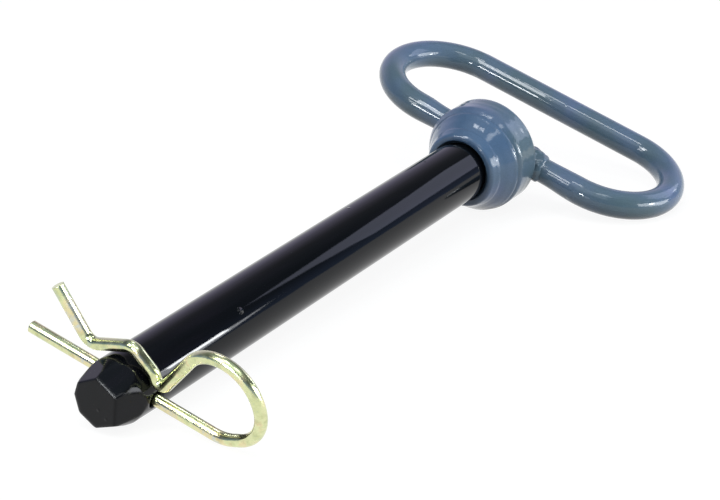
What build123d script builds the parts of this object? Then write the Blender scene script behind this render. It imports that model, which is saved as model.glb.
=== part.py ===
from build123d import *
import os
from math import atan, cos, degrees, hypot, radians, sin, tan

os.makedirs("parts", exist_ok=True)

# Hitch pin with a looped handle and an R-clip.
# The pin is built along +X from the centre of its pointed end, with the handle's
# loop in the XY plane, and is laid down on the floor at the end.

# ---------------------------------------------------------------- driving sizes
# Shank
shank_d = 19.05             # 3/4 in bar
grip_length = 167.4         # collar face to the middle of the cross hole
hole_to_end = 12.9          # middle of the cross hole to the pointed end
hole_d = 5.0                # cross hole
hole_turn = -2.2            # cross hole against the handle's plane, degrees
hole_rim = 0.5              # broken edge of the cross hole
lead_length = 21.0          # point to the end of the drawn-down lead
lead_drop = 0.15            # what the lead loses in radius towards the point
tip_slope = 20.5            # flats against the axis, degrees
tip_cone = 0.80             # end face diameter, as a share of the shank
tip_cone_slope = 13.5       # rounded corners against the axis, degrees
tip_edge = 0.4              # broken edge of the end face
tip_round = 2.0             # rounding between the point's cone and the lead
# Flats pressed on the point: direction in degrees from +Y, and the end face's
# half width there as a share of the shank's radius
tip_flats = [
    (48.5, 0.67), (107.5, 0.655), (171, 0.63), (234, 0.71), (286, 0.735), (330, 0.74), (4, 0.755),
]
neck_d = 17.6               # turned-down end of the shank, seated in the collar
neck_gap = 1.9              # bare neck between the shank's shoulder and the collar

# Collar
collar_mouth_d = 20.2       # countersunk mouth of the bore
bore_depth = 16.2
hub_front_d = 23.8          # front face
hub_step = 2.9              # front face to the small step behind the hub's land
hub_step_rise = 1.2         # the land's radius behind the step, over the front face's
hub_back = 8.5              # front face to the groove behind the domed hub
hub_back_d = 32.8
hub_round = 1.3             # rounding of the hub's front and back edges
groove_run = 0.6            # the groove, along the pin
flange_rise = 1.0           # the flange's rim over the hub's back
flange_shift = 0.67         # the flange off the bore's axis, along +Y, as forged
flange_front = 10.8         # front face to the flange's full width
flange_back = 20.4          # front face to the flat back
flange_round = 1.6          # rounding of the flange's two rims

# Handle
bar_d = 9.0
handle_inner = 23.6         # collar face to the middle of the welded side
handle_gap = 41.8           # between the two long sides, middle to middle
handle_straight = 61.1      # straight part of the long sides
handle_shift = -0.74        # the loop's middle off the bore's axis, along +Y
arm_d = 8.1                 # bar where it runs onto the collar
arm_run = (10.0, 13.0)      # length over which it thins, at +Y and at -Y
bend_lean = (-0.75, 0.2)    # what the bar strays along the pin where the bend ends, at +Y and -Y
arm_lean = (-1.1, 0.7)      # and where it meets the collar

# Weld beads: two rows of ripples round the bar, where it leaves the collar's rim.
# The pairs are for the first and the last ripple of a row
bead_d = 5.8
bead_turns = (45, 160)      # degrees from the bar's front, over its top
bead_rise = (1.7, 1.5)      # over the bar
bead_out = (-4.1, -4.1)     # out from the collar's rim
bead_count = 6
fringe_d = 3.8              # second row, finer
fringe_turns = (-25, 160)
fringe_rise = (1.1, 0.6)
fringe_out = (0.3, -0.7)
fringe_count = 11

# R-clip
wire_d = 3.5
clip_gap = 0.1              # between the clip's outer leg and the shank
clip_lean = -10.0           # clip's plane against the shank's cross section
leg_out = 33.0              # straight leg beyond the shank's axis
bow_out = 31.63             # straight leg up to the bow's first bend point
bow_r = 12.0
flare_length = 17.8
flare_angle = 129.7
kink_r = 2.15               # bends of the outer leg: beside the bow, on the shank, at the pinch
crest_r = 3.1
pinch_r = 3.6

# ---------------------------------------------------------------- derived sizes
shank_r = shank_d / 2
wire_r = wire_d / 2
bar_r = bar_d / 2
arm_r = arm_d / 2
neck_r = neck_d / 2
hub_r = hub_back_d / 2
flange_r = hub_r + flange_rise
face_x = hole_to_end + grip_length
inner_x = face_x + handle_inner
outer_x = inner_x + handle_gap
hug = shank_r + wire_r + clip_gap


def bent(points, bend_radii):
    """Lines through the points, rounded at each inner point."""
    pts = [Vector(*p) for p in points]
    edges, start = [], pts[0]
    for before, corner, after, r in zip(pts, pts[1:], pts[2:], bend_radii):
        a, b = (before - corner).normalized(), (after - corner).normalized()
        if r <= 0:
            first = last = corner
        else:
            half = radians(a.get_angle(b)) / 2
            first, last = corner + a * (r / tan(half)), corner + b * (r / tan(half))
            middle = corner + (a + b).normalized() * (r / sin(half) - r)
        if (first - start).length > 1e-6:
            edges.append(Line(start, first).edge())
        if r > 0:
            edges.append(ThreePointArc(first, middle, last).edge())
        start = last
    if (pts[-1] - start).length > 1e-6:
        edges.append(Line(start, pts[-1]).edge())
    return Wire(edges)


def turned(outline, bend_radii):
    """Solid of revolution about X from an outline of (x, radius) points."""
    wire = bent([(x, r) for x, r in outline], bend_radii)
    closed = Wire(list(wire.edges()) + [Line(wire @ 1, wire @ 0).edge()])
    return revolve(Face(closed), Axis.X, 360)


# ---------------------------------------------------------------- shank
lead_r = shank_r - lead_drop
cone_run = (lead_r - shank_r * tip_cone) / tan(radians(tip_cone_slope))
shoulder_x = face_x - neck_gap
shank_end = face_x + bore_depth
shank = turned(
    [
        (0, 0), (0, shank_r * tip_cone), (cone_run, lead_r), (lead_length, shank_r),
        (shoulder_x, shank_r), (shoulder_x, neck_r), (shank_end, neck_r), (shank_end, 0),
    ],
    [tip_edge, tip_round, 0, tip_edge, 0, tip_edge],
)
block = 2 * shank_d
for turn, share in tip_flats:
    cutter = Rot(0, -tip_slope, 0) * Pos(0, 0, block / 2) * Box(2 * block, block, block)
    shank -= Rot(turn - 90, 0, 0) * Pos(0, 0, shank_r * share) * cutter
hole = Cylinder(hole_d / 2, 2 * shank_d)
mouth = Cone(hole_d / 2, hole_d / 2 + 2 * hole_rim, 2 * hole_rim)
for side in (1, -1):
    hole += Rot(90 - side * 90, 0, 0) * (Pos(0, 0, shank_r) * mouth)
shank -= Pos(hole_to_end, 0, 0) * Rot(hole_turn, 0, 0) * Rot(90, 0, 0) * hole

# ---------------------------------------------------------------- handle
near_half, far_half = handle_straight / 2 + handle_shift, handle_straight / 2 - handle_shift
near_x, far_x = (inner_x + lean for lean in bend_lean)
near_r, far_r = (outer_x - near_x) / 2, (outer_x - far_x) / 2
loop = Wire([
    ThreePointArc((far_x, -far_half), (far_x + far_r, -far_half - far_r), (outer_x, -far_half)).edge(),
    Line((outer_x, -far_half), (outer_x, near_half)).edge(),
    ThreePointArc((outer_x, near_half), (near_x + near_r, near_half + near_r), (near_x, near_half)).edge(),
])
handle = sweep(Plane(loop @ 0, z_dir=loop % 0) * Circle(bar_r), path=loop)
arm_sections = []
for way, half, run, start, lean in zip((1, -1), (near_half, far_half), arm_run, bend_lean, arm_lean):
    for k in range(5)[::way]:
        near = (k / 4) ** 2 * (3 - k / 2)
        middle = (inner_x + start + near * (lean - start), way * (half - run * k / 4), 0)
        plane = Plane(middle, x_dir=(1, 0, 0), z_dir=(0, 1, 0))
        arm_sections.append(plane * Circle(bar_r + (arm_r - bar_r) * near))
handle += loft(arm_sections)

# ---------------------------------------------------------------- collar
mouth_r, front_r = collar_mouth_d / 2, hub_front_d / 2
step_r = front_r + hub_step_rise
groove_x, groove_r = hub_back + groove_run, hub_r - groove_run / 4
hub = turned(
    [
        (0, 0), (0, front_r), (hub_step, step_r), (hub_step + 0.35, step_r - 0.1),
        (hub_back, hub_r), (groove_x, groove_r), (groove_x, 0),
    ],
    [hub_round, 0.3, 0.3, hub_round, 0],
)
flange_start, flange_start_r = groove_x - groove_run / 2, groove_r - groove_run / 2
flange = turned(
    [
        (flange_start, 0), (flange_start, flange_start_r), (flange_front, flange_r),
        (flange_back, flange_r), (flange_back, 0),
    ],
    [0, flange_round, flange_round],
)
bore = turned(
    [
        (-mouth_r, 0), (-mouth_r, 2 * mouth_r), (mouth_r - neck_r, neck_r),
        (bore_depth, neck_r), (bore_depth, 0),
    ],
    [0, 0, 0],
)
collar = Pos(face_x, 0, 0) * (hub + Pos(0, flange_shift, 0) * flange - bore) - handle

# ---------------------------------------------------------------- weld beads
beads = []
for way, lean in zip((1, -1), arm_lean):
    ripples = []
    for d, count, *ends in (
        (bead_d, bead_count, bead_turns, bead_rise, bead_out),
        (fringe_d, fringe_count, fringe_turns, fringe_rise, fringe_out),
    ):
        for k in range(count):
            turn, rise, out = (a + (b - a) * k / (count - 1) for a, b in ends)
            r = d / 2 * (0.94 if k % 2 else 1)
            place = Pos(inner_x + lean, flange_shift + way * (flange_r + out), 0) * Rot(0, turn - 90, 0)
            ripples.append(place * Pos(0, 0, arm_r + rise - r) * Sphere(r))
    beads.append(ripples[0].fuse(*ripples[1:]) - collar - handle)

# ---------------------------------------------------------------- R-clip
pinch, flare = (-1.137 * hug, 0.558 * hug), radians(flare_angle)
clip_path = bent(
    [
        (-leg_out, 0), (bow_out, 0), (bow_out + 1.251 * bow_r, 0.754 * bow_r),
        (bow_out - 0.158 * bow_r, 3.217 * bow_r), (0.903 * hug, 0.28 * hug), (0.720 * hug, 0.786 * hug),
        (0.107 * hug, 1.245 * hug), pinch,
        (pinch[0] + flare_length * cos(flare), pinch[1] + flare_length * sin(flare)),
    ],
    [bow_r, bow_r, bow_r, kink_r, crest_r, pinch_r, pinch_r],
)
clip = sweep(Plane(clip_path @ 0, z_dir=clip_path % 0) * Circle(wire_r), path=clip_path)
clip = (
    Pos(hole_to_end, 0, 0) * Rot(hole_turn, 0, 0) * Rot(0, clip_lean, 0)
    * Plane((0, 0, 0), x_dir=(0, -1, 0), z_dir=(-1, 0, 0)).location * clip
)

# ---------------------------------------------------------------- lying down
# The pin rests on its point and the flange's rim, rolled until the handle's end
# meets the floor too.
tip_x = hole_to_end * 0.62
rim_x = face_x + flange_front + flange_round * 0.3


def up_at(roll):
    """The floor's upward normal, seen from the pin, at this roll."""
    pitch = atan((flange_r - flange_shift * sin(roll) - shank_r) / (rim_x - tip_x))
    return Vector(sin(pitch), cos(pitch) * sin(roll), cos(pitch) * cos(roll))


def clearance(roll):
    """Height of the handle's end over the floor."""
    up = up_at(roll)
    floor = rim_x * up.X + flange_shift * up.Y - flange_r * hypot(up.Y, up.Z)
    end = up.X * (far_x + outer_x) / 2 - up.Y * far_half - far_r * hypot(up.X, up.Y) - bar_r
    return end - floor


low, high = 0.0, radians(60)
for _ in range(50):
    roll = (low + high) / 2
    low, high = (roll, high) if clearance(roll) > 0 else (low, roll)
up = up_at(low)
along = (Vector(1, 0, 0) - up * up.X).normalized()
lay = Plane((0, 0, 0), x_dir=along, z_dir=up).location.inverse()

nodes = {"shank": shank, "collar": collar, "handle": handle, "weld_beads": Compound(beads), "r_clip": clip}
laid = {name: lay * shape for name, shape in nodes.items()}
box = Compound(children=[Compound(shape.solids()) for shape in laid.values()]).bounding_box(optimal=True)
seat = Pos(-box.center().X, -box.center().Y, -box.min.Z)
for name, shape in laid.items():
    export_step(Compound(children=(seat * shape).solids(), label=name), f"parts/{name}.step")
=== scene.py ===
import math

import bmesh
import bpy
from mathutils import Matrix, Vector, noise


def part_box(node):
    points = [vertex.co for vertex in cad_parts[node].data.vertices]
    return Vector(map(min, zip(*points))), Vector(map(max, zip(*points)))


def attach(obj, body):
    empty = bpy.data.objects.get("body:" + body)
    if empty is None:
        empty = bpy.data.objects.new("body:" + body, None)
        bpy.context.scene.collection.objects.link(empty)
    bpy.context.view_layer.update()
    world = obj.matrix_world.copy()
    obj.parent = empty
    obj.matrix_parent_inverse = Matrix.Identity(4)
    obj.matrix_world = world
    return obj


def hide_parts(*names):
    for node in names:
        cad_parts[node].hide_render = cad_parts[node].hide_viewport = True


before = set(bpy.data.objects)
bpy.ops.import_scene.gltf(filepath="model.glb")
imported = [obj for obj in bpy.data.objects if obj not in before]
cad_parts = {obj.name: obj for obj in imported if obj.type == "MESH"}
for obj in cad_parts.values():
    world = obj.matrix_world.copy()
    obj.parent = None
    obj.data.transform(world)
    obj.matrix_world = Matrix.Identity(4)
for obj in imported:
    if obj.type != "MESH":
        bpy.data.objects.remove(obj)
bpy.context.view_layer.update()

scene = bpy.context.scene

# Places and measures of the part, in metres and degrees
PIN_PITCH = 2.4                                 # the pin's slope as it lies
HUB_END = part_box("collar")[0][0] + 0.0085       # where the domed hub meets its groove
HUB_REFLECTION_REACH = (0.003, -0.001)                      # reach of the hub's painted bluish reflection round that
HUB_REFLECTION_HEIGHT = (0.009, 0.026)                # and the heights over which that painted reflection comes in
NIB_AT, NIB_RADIUS = (-0.0723, -0.0067, 0.0176), 0.0011


def srgb(r, g, b):
    """An sRGB colour, 0 to 255, as Blender's linear RGBA."""
    lin = [c / 255 / 12.92 if c <= 10 else ((c / 255 + 0.055) / 1.055) ** 2.4 for c in (r, g, b)]
    return (*lin, 1.0)


class Nodes:
    """A material under construction: short calls for the nodes that all of them share."""

    def __init__(self, name):
        self.mat = bpy.data.materials.new(name)
        self.mat.use_nodes = True
        self.tree = self.mat.node_tree
        self.shader = self.tree.nodes["Principled BSDF"]
        self.where = self.add("ShaderNodeTexCoord").outputs["Object"]

    def add(self, kind, **values):
        node = self.tree.nodes.new(kind)
        for key, value in values.items():
            if hasattr(node, key):
                setattr(node, key, value)
            else:
                node.inputs[key.replace("_", " ")].default_value = value
        return node

    def join(self, a, b):
        self.tree.links.new(a, b)

    def stretched(self, scale, turn=(0, 0, 0)):
        """The object's coordinates, turned and scaled."""
        m = self.add("ShaderNodeMapping")
        m.inputs["Rotation"].default_value = [math.radians(t) for t in turn]
        m.inputs["Scale"].default_value = scale
        self.join(self.where, m.inputs["Vector"])
        return m.outputs["Vector"]

    def noise(self, scale, detail=2.0, rough=0.5, at=None):
        n = self.add("ShaderNodeTexNoise", Scale=scale, Detail=detail, Roughness=rough)
        self.join(self.where if at is None else at, n.inputs["Vector"])
        return n.outputs["Fac"]

    def spots(self, scale, size, feather=0.03):
        """1 in round spots, this share of their spacing across, and 0 between them."""
        v = self.add("ShaderNodeTexVoronoi", Scale=scale)
        self.join(self.where, v.inputs["Vector"])
        return self.ramp(v.outputs["Distance"], [(size, 1.0), (size + feather, 0.0)])

    def hollows(self, reach):
        """1 in the open, towards 0 where surfaces meet within this reach."""
        return self.add("ShaderNodeAmbientOcclusion", samples=8, Distance=reach).outputs["AO"]

    def ramp(self, source, stops):
        """Colours or greys along a value from 0 to 1."""
        r = self.add("ShaderNodeValToRGB")
        band = r.color_ramp
        while len(band.elements) < len(stops):
            band.elements.new(0.5)
        for e, (at, colour) in zip(band.elements, stops):
            e.position = at
            e.color = colour if isinstance(colour, tuple) else (colour, colour, colour, 1)
        self.join(source, r.inputs["Fac"])
        return r.outputs["Color"]

    def mix(self, share, a, b, kind="MIX"):
        m = self.add("ShaderNodeMix", data_type="RGBA", blend_type=kind)
        ins = [s for s in m.inputs if s.type == "RGBA"]
        out = next(s for s in m.outputs if s.type == "RGBA")
        for socket, value in ((m.inputs[0], share), (ins[0], a), (ins[1], b)):
            if isinstance(value, bpy.types.NodeSocket):
                self.join(value, socket)
            else:
                socket.default_value = value
        return out

    def bump(self, height, depth, onto=None, strength=1.0):
        b = self.add("ShaderNodeBump", Strength=strength, Distance=depth)
        self.join(height, b.inputs["Height"])
        if onto is not None:
            self.join(onto, b.inputs["Normal"])
        return b.outputs["Normal"]

    def soft_edges(self, radius):
        return self.add("ShaderNodeBevel", samples=8, Radius=radius).outputs["Normal"]

    def between(self, source, low, high):
        """0 below low to 1 above high."""
        m = self.add("ShaderNodeMapRange", From_Min=low, From_Max=high)
        self.join(source, m.inputs["Value"])
        return m.outputs["Result"]

    def along(self, axis):
        split = self.add("ShaderNodeSeparateXYZ")
        self.join(self.where, split.inputs[0])
        return split.outputs[axis]

    def near(self, point, radius):
        """1 at a point, down to 0 at this radius from it."""
        d = self.add("ShaderNodeVectorMath", operation="DISTANCE")
        self.join(self.where, d.inputs[0])
        d.inputs[1].default_value = point
        return self.between(d.outputs["Value"], radius, 0.0)

    def set(self, **values):
        for key, value in values.items():
            self.shader.inputs[key.replace("_", " ")].default_value = value

    def feed(self, **sources):
        for key, source in sources.items():
            self.join(source, self.shader.inputs[key.replace("_", " ")])


def enamel(name, wave, edge, gloss=0.045, ridge=0.0, hub_painted_reflection=False):
    """The handle's and collar's blue-grey gloss enamel over forged steel, with waves this
    deep and edges this round, and painted shade where surfaces meet. On the collar the turned
    ridges show, and its hub gets a painted bluish reflection, more of it higher up."""
    n = Nodes(name)
    colour = n.ramp(
        n.noise(52, 2.5, 0.6),
        [
            (0.34, srgb(88, 110, 118)), (0.46, srgb(92, 113, 127)), (0.56, srgb(94, 115, 136)),
            (0.68, srgb(98, 116, 146)),
        ],
    )
    if hub_painted_reflection:
        # Painted reflection: the hub turns bluer towards its front and higher up, in place of a
        # reflected blue sky
        share = n.add("ShaderNodeMath", operation="MULTIPLY")
        n.join(n.between(n.along("X"), *(HUB_END + reach for reach in HUB_REFLECTION_REACH)), share.inputs[0])
        n.join(n.between(n.along("Z"), *HUB_REFLECTION_HEIGHT), share.inputs[1])
        colour = n.mix(share.outputs[0], colour, srgb(83, 110, 139))
    speck = n.ramp(n.noise(2600, 1, 0.5), [(0.36, 0.0), (0.66, 1.0)])
    colour = n.mix(0.05, colour, speck, "OVERLAY")
    # Painted shade: a dark blue-grey mixed in by ambient occlusion where surfaces meet within 6
    # mm
    painted_crease_shade = n.ramp(n.hollows(0.006), [(0.25, 1.0), (0.75, 0.0)])
    colour = n.mix(painted_crease_shade, colour, srgb(52, 66, 76))
    n.feed(Base_Color=colour)
    n.feed(Roughness=n.ramp(n.noise(120, 2), [(0.3, 0.36), (0.7, 0.46)]))
    normal = n.soft_edges(edge)
    normal = n.bump(n.noise(150, 2, 0.55), wave, normal)
    if ridge:
        rings = n.add("ShaderNodeTexWave", Scale=104.0, Distortion=3.5, Detail=1.0)
        n.join(n.stretched((1, 1, 1), (0, PIN_PITCH, 0)), rings.inputs["Vector"])
        normal = n.bump(rings.outputs["Fac"], ridge, normal)
    normal = n.bump(n.noise(900, 1.5, 0.5), 0.000012, normal)
    normal = n.bump(n.spots(75, 0.05, 0.05), 0.0001, normal)
    n.feed(Normal=normal)
    n.join(normal, n.shader.inputs["Coat Normal"])
    n.set(Metallic=0.0, IOR=1.45, Specular_IOR_Level=0.15)
    n.set(Coat_Weight=1.0, Coat_Roughness=gloss, Coat_IOR=1.42)
    return n.mat


coat = enamel("handle_coat", 0.00005, 0.0004)
hub = enamel("collar_coat", 0.00012, 0.0009, gloss=0.07, ridge=0.000035, hub_painted_reflection=True)
weld = enamel("weld_coat", 0.0005, 0.0003)


def black_enamel():
    """The shank's near-black gloss paint, with faint orange peel and one nib in it."""
    n = Nodes("shank_black")
    drift = n.noise(1.0, 3, 0.6, n.stretched((18, 160, 160), (0, PIN_PITCH, 0)))
    n.feed(Base_Color=n.ramp(
        drift, [(0.3, srgb(7, 10, 13)), (0.55, srgb(12, 14, 18)), (0.75, srgb(19, 18, 24))],
    ))
    normal = n.soft_edges(0.0013)
    peel = n.noise(1.0, 2, 0.5, n.stretched((60, 420, 420), (0, PIN_PITCH, 0)))
    normal = n.bump(peel, 0.00002, normal)
    normal = n.bump(n.spots(95, 0.0, 0.06), 0.00014, normal)
    normal = n.bump(n.near(NIB_AT, NIB_RADIUS), 0.0006, normal)
    n.feed(Normal=normal)
    n.join(normal, n.shader.inputs["Coat Normal"])
    n.set(Metallic=0.0, Roughness=0.5, IOR=1.4, Specular_IOR_Level=0.0)
    n.set(Coat_Weight=1.0, Coat_Roughness=0.035, Coat_IOR=1.3)
    return n.mat


def yellow_zinc():
    """The clip's yellow-passivated zinc, iridescent and slightly stained."""
    n = Nodes("clip_zinc")
    tint = n.ramp(
        n.noise(170, 3, 0.65),
        [
            (0.28, srgb(192, 204, 190)), (0.40, srgb(212, 218, 170)), (0.50, srgb(224, 228, 184)),
            (0.60, srgb(232, 220, 178)), (0.70, srgb(208, 214, 212)),
        ],
    )
    stain = n.ramp(n.noise(420, 2, 0.6), [(0.50, 0.0), (0.74, 1.0)])
    tint = n.mix(0.4, tint, n.mix(stain, srgb(240, 240, 214), srgb(160, 156, 84)), "MULTIPLY")
    n.feed(Base_Color=tint)
    n.feed(Roughness=n.ramp(n.noise(260, 2), [(0.35, 0.14), (0.7, 0.28)]))
    normal = n.soft_edges(0.0003)
    normal = n.bump(n.noise(700, 2, 0.6), 0.00003, normal)
    n.feed(Normal=normal)
    n.set(Metallic=1.0, Coat_Weight=0.25, Coat_Roughness=0.08)
    return n.mat


black, zinc = black_enamel(), yellow_zinc()
looks = {"shank": black, "collar": hub, "handle": coat, "weld_beads": weld, "r_clip": zinc}
for node, mat in looks.items():
    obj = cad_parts[node]
    obj.data.materials.clear()
    obj.data.materials.append(mat)

# The weld's metal
RIPPLE_STEP = 5                     # every so many of the CAD ripples' vertices shape it
ROOT_SHIFT = (0.0006, 0.0022, -0.0005)  # its root, from the ripples towards the collar
VOXEL, SMOOTHING = 0.0005, 5
LUMP_HEIGHT, LUMP_SCALE, FINE_SHARE, FINE_SCALE = 0.00032, 620, 0.6, 1300


def weld_seams():
    """Each weld as one run of metal from the collar's rim onto the bar, over the CAD ripples."""
    bm = bmesh.new()
    for side in (-1, 1):
        vertices = list(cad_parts["weld_beads"].data.vertices)[::RIPPLE_STEP]
        ripples = [v.co for v in vertices if v.co.y * side > 0]
        back, inward, down = ROOT_SHIFT
        rooted = [co - Vector((back, side * inward, down)) for co in ripples]
        made = bmesh.ops.convex_hull(bm, input=[bm.verts.new(co) for co in ripples + rooted])
        inside = [g for g in made["geom_interior"] if isinstance(g, bmesh.types.BMVert)]
        bmesh.ops.delete(bm, geom=inside, context="VERTS")
    mesh = bpy.data.meshes.new("weld_seams")
    bm.to_mesh(mesh)
    bm.free()
    seam = bpy.data.objects.new("weld_seams", mesh)
    scene.collection.objects.link(seam)
    remesh = seam.modifiers.new("even", "REMESH")
    remesh.mode, remesh.voxel_size = "VOXEL", VOXEL
    soften = seam.modifiers.new("soften", "SMOOTH")
    soften.factor, soften.iterations = 0.5, SMOOTHING
    bpy.context.view_layer.update()
    depsgraph = bpy.context.evaluated_depsgraph_get()
    even = bpy.data.meshes.new_from_object(seam.evaluated_get(depsgraph))
    seam.modifiers.clear()
    seam.data = even
    for v in even.vertices:
        lump = noise.noise(v.co * LUMP_SCALE) + FINE_SHARE * noise.noise(v.co * FINE_SCALE)
        v.co += v.normal * LUMP_HEIGHT * lump
    even.shade_smooth()
    even.materials.clear()
    even.materials.append(weld)
    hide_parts("weld_beads")
    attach(seam, "pin")


weld_seams()

# Floor: white to the eye and to reflections, a mid grey to the light that it bounces back
FLOOR_GLOW = 0.90
bpy.ops.mesh.primitive_circle_add(vertices=96, radius=2.5, fill_type="NGON", location=(0, 0, 0))
floor = bpy.context.object
floor.name = "floor"
fm = Nodes("floor")
fm.set(Base_Color=srgb(114, 112, 109), Roughness=0.8, Specular_IOR_Level=0.0)
path = fm.add("ShaderNodeLightPath")
seen = path.outputs["Is Camera Ray"]
for ray in ("Is Glossy Ray", "Is Transmission Ray"):
    either = fm.add("ShaderNodeMath", operation="MAXIMUM")
    fm.join(seen, either.inputs[0])
    fm.join(path.outputs[ray], either.inputs[1])
    seen = either.outputs[0]
gain = fm.add("ShaderNodeMath", operation="MULTIPLY")
fm.join(seen, gain.inputs[0])
gain.inputs[1].default_value = FLOOR_GLOW
fm.set(Emission_Color=(1, 1, 1, 1))
fm.join(gain.outputs[0], fm.shader.inputs["Emission Strength"])
floor.data.materials.append(fm.mat)

# Room: pale round the horizon behind the pin, dim on the near side and overhead
BEHIND = math.radians(42)               # azimuth of the pale side
world = bpy.data.worlds.new("studio")
scene.world = world
world.use_nodes = True
wt = world.node_tree


def world_ramp(source, stops):
    """Colours along a value from 0 to 1, for the room."""
    r = wt.nodes.new("ShaderNodeValToRGB")
    while len(r.color_ramp.elements) < len(stops):
        r.color_ramp.elements.new(0.5)
    for e, (at, colour) in zip(r.color_ramp.elements, stops):
        e.position, e.color = at, (*colour, 1)
    wt.links.new(source, r.inputs["Fac"])
    return r.outputs["Color"]


way = wt.nodes.new("ShaderNodeTexCoord").outputs["Generated"]
split = wt.nodes.new("ShaderNodeSeparateXYZ")
wt.links.new(way, split.inputs[0])
# The stops are sines of the height
sky = world_ramp(split.outputs["Z"], [
    (0.0, (0.80, 0.78, 0.90)), (0.30, (0.66, 0.62, 0.85)), (0.52, (0.50, 0.47, 0.62)),
    (0.66, (0.22, 0.22, 0.24)), (0.76, (0.16, 0.17, 0.19)), (0.86, (0.34, 0.40, 0.47)),
    (1.0, (0.50, 0.58, 0.68)),
])
dim = world_ramp(split.outputs["Z"], [
    (0.0, (0.26, 0.36, 0.62)), (0.2, (0.18, 0.24, 0.40)), (0.40, (0.10, 0.12, 0.16)),
    (0.66, (0.08, 0.09, 0.10)), (0.76, (0.12, 0.14, 0.17)), (0.86, (0.34, 0.40, 0.47)),
    (1.0, (0.50, 0.58, 0.68)),
])
behind = wt.nodes.new("ShaderNodeVectorMath")
behind.operation = "DOT_PRODUCT"
wt.links.new(way, behind.inputs[0])
behind.inputs[1].default_value = (math.cos(BEHIND), math.sin(BEHIND), 0)
share = world_ramp(behind.outputs["Value"], [(0.35, (0, 0, 0)), (0.72, (1, 1, 1))])
blend = wt.nodes.new("ShaderNodeMix")
blend.data_type = "RGBA"
wt.links.new(share, blend.inputs[0])
wt.links.new(dim, blend.inputs[6])
wt.links.new(sky, blend.inputs[7])
wt.links.new(blend.outputs[2], wt.nodes["Background"].inputs["Color"])
wt.nodes["Background"].inputs["Strength"].default_value = 1.0


def lamp(name, azimuth, height, wide, tall, glow, roll=0.0, colour=(0.94, 0.97, 1.0), far=1.3,
         at=(0, 0, 0.015), gloss_only=False):
    """A soft box in this direction from a point of the part, this wide and tall as seen from
    it, all in degrees, and this bright, where 1 is white. A small one can be for gloss only."""
    a, e = math.radians(azimuth), math.radians(height)
    spot = Vector((math.cos(a) * math.cos(e), math.sin(a) * math.cos(e), math.sin(e)))
    data = bpy.data.lights.new(name, "AREA")
    data.shape = "RECTANGLE"
    data.size, data.size_y = (2 * far * math.tan(math.radians(span) / 2) for span in (wide, tall))
    data.energy, data.color = glow * math.pi * data.size * data.size_y, colour
    obj = bpy.data.objects.new(name, data)
    scene.collection.objects.link(obj)
    obj.location = spot * far + Vector(at)
    obj.rotation_euler = spot.to_track_quat("Z", "Y").to_euler()
    obj.rotation_euler.rotate_axis("Z", math.radians(roll))
    obj.visible_camera = False
    obj.visible_diffuse = not gloss_only


lamp("window", -70, 11, 46, 19, 8.0, roll=-20)
lamp("skylight", 152, 53, 13, 11, 11.0)
lamp("skylight_low", 154, 34, 12, 9, 10.0)
lamp("overhead", 180, 76, 11, 9, 9.0)
lamp("high_side", -118, 62, 16, 9, 4.5)
lamp("far_lamp", -24, 19, 6, 6, 3.5)
lamp("near_lamp", -172, 6, 9, 8, 3.0)
lamp("fill", -160, 52, 44, 34, 1.15, colour=(0.86, 0.97, 1.0))
# Small ones close to the part, each seen along a short stretch of bar or shank only
bar, shaft = (0.1168, 0.0165, 0.027), (0.014, -0.006, 0.02)
tip, point = (-0.0963, -0.008, 0.0148), (-0.1245, -0.003, 0.015)
lamp("bar_high", 167.9, 52, 9, 24, 12.0, far=0.2, at=bar, gloss_only=True)
lamp("bar_low", 163, 15, 9, 8, 30.0, far=0.2, at=bar, gloss_only=True)
lamp("tip_strip", -45.9, 10, 6.4, 5, 40.0, far=0.35, at=tip, gloss_only=True)
lamp("tip_glint", -172, 26, 16, 16, 40.0, far=0.15, at=point, gloss_only=True)
lamp("shaft_card", -29, 25, 26, 25, 2.2, colour=(0.72, 0.76, 1.0), far=0.35, at=shaft,
     gloss_only=True)

camera = bpy.data.objects.new("camera", bpy.data.cameras.new("camera"))
scene.collection.objects.link(camera)
camera.location = (-0.528993, -0.33924, 0.277846)
camera.rotation_euler = (1.166057, -0.020012, -0.98973)
camera.data.sensor_width = 36
camera.data.lens = 114.35
scene.camera = camera
scene.view_settings.view_transform = "Standard"
